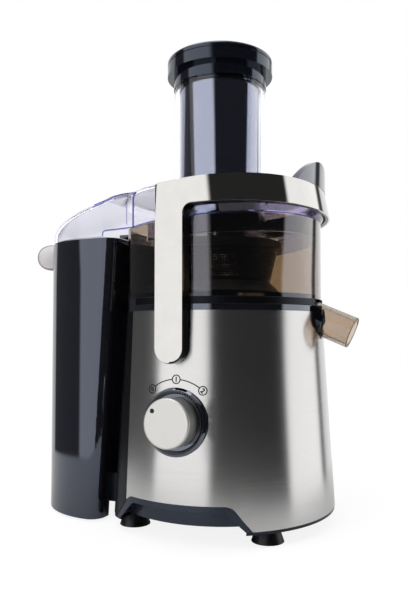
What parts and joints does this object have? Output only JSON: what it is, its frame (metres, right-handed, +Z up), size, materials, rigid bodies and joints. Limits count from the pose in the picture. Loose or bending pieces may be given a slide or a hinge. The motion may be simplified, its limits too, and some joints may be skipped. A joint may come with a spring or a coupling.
{
  "type": "electric juicer",
  "caption": "Centrifugal juicer with a steel-clad motor base, smoky juice bowl and spout, clear lid with wide feed tube and pusher, locking arm and pulp bin.",
  "frame": {"origin": "under the middle of the whole, on the surface that the feet stand on", "axes": "+Z up along the drive axis, +X towards the juice spout, -X towards the pulp bin, -Y towards the knob"},
  "size_m": [0.325, 0.2237, 0.4155],
  "materials": {
    "brushed_steel": "vertically brushed",
    "black_plastic": "semi gloss",
    "bin_plastic": "high gloss",
    "grey_plastic": "fine satin",
    "smoky_plastic": "clear smoky, polished",
    "clear_plastic": "clear, polished",
    "silver_face": "polished",
    "silver_plastic": "metallic satin",
    "rubber": "matt",
    "sheet_steel": "bright sheet",
    "machined_steel": "turned",
    "lamination_steel": "stacked laminations",
    "bracket_metal": "die cast",
    "copper": "turned",
    "dark_nylon": "moulded"
  },
  "bodies": {
    "base": {"steel_wrap": "brushed_steel", "base_housing": "black_plastic", "front_trim": "grey_plastic", "bottom_plate": "black_plastic", "plate_screws": "machined_steel", "rubber_feet": "rubber", "bin_shelf": "black_plastic", "top_deck": "black_plastic", "spout_saddle": "black_plastic", "cord_gland": "rubber", "knob_bezel": "black_plastic", "switch_body": "dark_nylon", "interlock_switch": "dark_nylon", "motor_stator": "lamination_steel", "upper_bracket": "bracket_metal", "lower_bracket": "bracket_metal", "upper_bearing": "machined_steel", "lower_bearing": "machined_steel", "motor_bolts": "machined_steel", "motor_bushes": "rubber", "brush_holders": "copper", "shaft_seal": "rubber", "pivot_bushes": "dark_nylon", "juice_bowl": "smoky_plastic", "juice_spout": "smoky_plastic"},
    "knob": {"control_knob": "silver_plastic", "switch_spindle": "dark_nylon"},
    "drive": {"motor_rotor": "lamination_steel", "commutator": "copper", "cooling_fan": "dark_nylon", "motor_shaft": "machined_steel", "drive_coupling": "dark_nylon", "basket_hub": "dark_nylon", "filter_basket": "sheet_steel", "basket_rim": "dark_nylon", "grating_disc": "sheet_steel"},
    "arm": {"arm_cover": "silver_face", "arm_frame": "black_plastic", "arm_grip": "black_plastic", "arm_pivots": "machined_steel"},
    "lid": {"lid_cover": "clear_plastic", "feed_tube": "clear_plastic"},
    "pusher": {"pusher_body": "bin_plastic", "pusher_cap": "bin_plastic"},
    "bin": {"pulp_bin": "bin_plastic", "bin_grip": "silver_plastic"}
  },
  "joints": [
    {"name": "knob_turn", "type": "hinge", "parent": "base", "child": "knob", "pos_m": [0.03721, -0.09384, 0.094], "axis": [0, 0.9983, -0.0583], "range_deg": [0, 90]},
    {"name": "drive_spin", "type": "hinge", "parent": "base", "child": "drive", "pos_m": [0.03721, 0.00373, 0.15], "axis": [0, 0, 1], "continuous": true},
    {"name": "arm_swing", "type": "hinge", "parent": "base", "child": "arm", "pos_m": [0.03721, 0.00373, 0.1515], "axis": [0, 1, 0], "range_deg": [0, 80]},
    {"name": "lid_lift", "type": "slide", "parent": "base", "child": "lid", "axis": [0, 0, 1], "range_m": [0, 0.12]},
    {"name": "pusher_slide", "type": "slide", "parent": "lid", "child": "pusher", "axis": [0, 0, 1], "range_m": [0, 0.17]},
    {"name": "bin_slide", "type": "slide", "parent": "base", "child": "bin", "axis": [-1, 0, 0], "range_m": [0, 0.15]}
  ]
}
